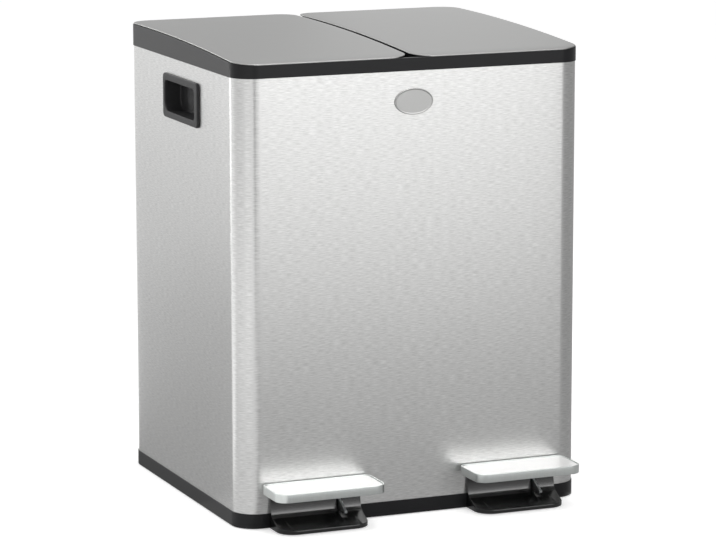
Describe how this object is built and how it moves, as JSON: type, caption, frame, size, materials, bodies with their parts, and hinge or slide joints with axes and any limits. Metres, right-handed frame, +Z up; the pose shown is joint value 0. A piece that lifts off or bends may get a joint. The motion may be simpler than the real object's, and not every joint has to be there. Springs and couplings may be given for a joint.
{
  "type": "double recycling bin",
  "caption": "Steel twin-compartment pedal bin: crowned lids hinged at the back, each lifted by its own pedal through a lever and push rod, with lift-out buckets.",
  "frame": {"origin": "On the floor, in the middle of the rectangle that the bin and its pedals cover seen from above.", "axes": "+Z is up, -Y is the front where the pedals are, +X is to the right seen from the front."},
  "size_m": [0.4058, 0.4078, 0.5097],
  "materials": {
    "brushed_stainless": "brushed along its length, clear protective film removed",
    "satin_stainless": "fine satin grind on the lid skins and the badge",
    "polished_stainless": "polished, faint vertical grain on the rim",
    "zinc_steel": "bright zinc plate",
    "satin_black_plastic": "fine satin texture",
    "gloss_black_plastic": "piano gloss",
    "bucket_black_plastic": "matt polypropylene",
    "black_rubber": "matt"
  },
  "bodies": {
    "body": {"body_shell": "brushed_stainless", "base": "satin_black_plastic", "collar": "satin_black_plastic", "badge": "satin_stainless", "foot_front_left": "black_rubber", "foot_front_right": "black_rubber", "foot_back_right": "black_rubber", "foot_back_left": "black_rubber", "left_handle": "satin_black_plastic", "left_bucket": "bucket_black_plastic", "left_hinge_pin_inner": "zinc_steel", "left_hinge_pin_outer": "zinc_steel", "left_lever_axle": "zinc_steel", "left_shroud": "gloss_black_plastic", "left_buffer_front": "black_rubber", "left_buffer_back": "black_rubber", "right_handle": "satin_black_plastic", "right_bucket": "bucket_black_plastic", "right_hinge_pin_inner": "zinc_steel", "right_hinge_pin_outer": "zinc_steel", "right_lever_axle": "zinc_steel", "right_shroud": "gloss_black_plastic", "right_buffer_front": "black_rubber", "right_buffer_back": "black_rubber"},
    "left_lid": {"left_lid_panel": "satin_stainless", "left_lid_frame": "satin_black_plastic", "left_crank_pin": "zinc_steel"},
    "left_pedal": {"left_pedal_lever": "zinc_steel", "left_pedal_rim": "polished_stainless", "left_pedal_tread": "polished_stainless"},
    "left_rod": {"left_push_rod": "zinc_steel", "left_rod_pin": "zinc_steel"},
    "left_bail": {"left_bucket_bail": "satin_black_plastic"},
    "right_lid": {"right_lid_panel": "satin_stainless", "right_lid_frame": "satin_black_plastic", "right_crank_pin": "zinc_steel"},
    "right_pedal": {"right_pedal_lever": "zinc_steel", "right_pedal_rim": "polished_stainless", "right_pedal_tread": "polished_stainless"},
    "right_rod": {"right_push_rod": "zinc_steel", "right_rod_pin": "zinc_steel"},
    "right_bail": {"right_bucket_bail": "satin_black_plastic"}
  },
  "joints": [
    {"name": "left_lid_hinge", "type": "hinge", "parent": "body", "child": "left_lid", "pos_m": [-0.1, 0.1971, 0.5038], "axis": [-1, 0, 0], "range_deg": [0, 75]},
    {"name": "left_pedal_pivot", "type": "hinge", "parent": "body", "child": "left_pedal", "pos_m": [-0.0883, -0.0824, 0.021], "axis": [1, 0, 0], "range_deg": [0, 7.02]},
    {"name": "left_rod_slide", "type": "slide", "parent": "body", "child": "left_rod", "axis": [0, 0, 1], "range_m": [0, 0.03166]},
    {"name": "left_bail_swing", "type": "hinge", "parent": "body", "child": "left_bail", "pos_m": [-0.093, 0.01275, 0.474], "axis": [1, 0, 0], "range_deg": [0, 5]},
    {"name": "right_lid_hinge", "type": "hinge", "parent": "body", "child": "right_lid", "pos_m": [0.1, 0.1971, 0.5038], "axis": [-1, 0, 0], "range_deg": [0, 75]},
    {"name": "right_pedal_pivot", "type": "hinge", "parent": "body", "child": "right_pedal", "pos_m": [0.1423, -0.0824, 0.021], "axis": [1, 0, 0], "range_deg": [0, 7.02]},
    {"name": "right_rod_slide", "type": "slide", "parent": "body", "child": "right_rod", "axis": [0, 0, 1], "range_m": [0, 0.03166]},
    {"name": "right_bail_swing", "type": "hinge", "parent": "body", "child": "right_bail", "pos_m": [0.093, 0.01275, 0.474], "axis": [1, 0, 0], "range_deg": [0, 5]}
  ],
  "couplings": [
    {"joint": "left_pedal_pivot", "follows": "left_lid_hinge", "ratio": 0.093651},
    {"joint": "left_rod_slide", "follows": "left_lid_hinge", "m_per_rad": 0.024183},
    {"joint": "right_pedal_pivot", "follows": "right_lid_hinge", "ratio": 0.093651},
    {"joint": "right_rod_slide", "follows": "right_lid_hinge", "m_per_rad": 0.024183}
  ]
}
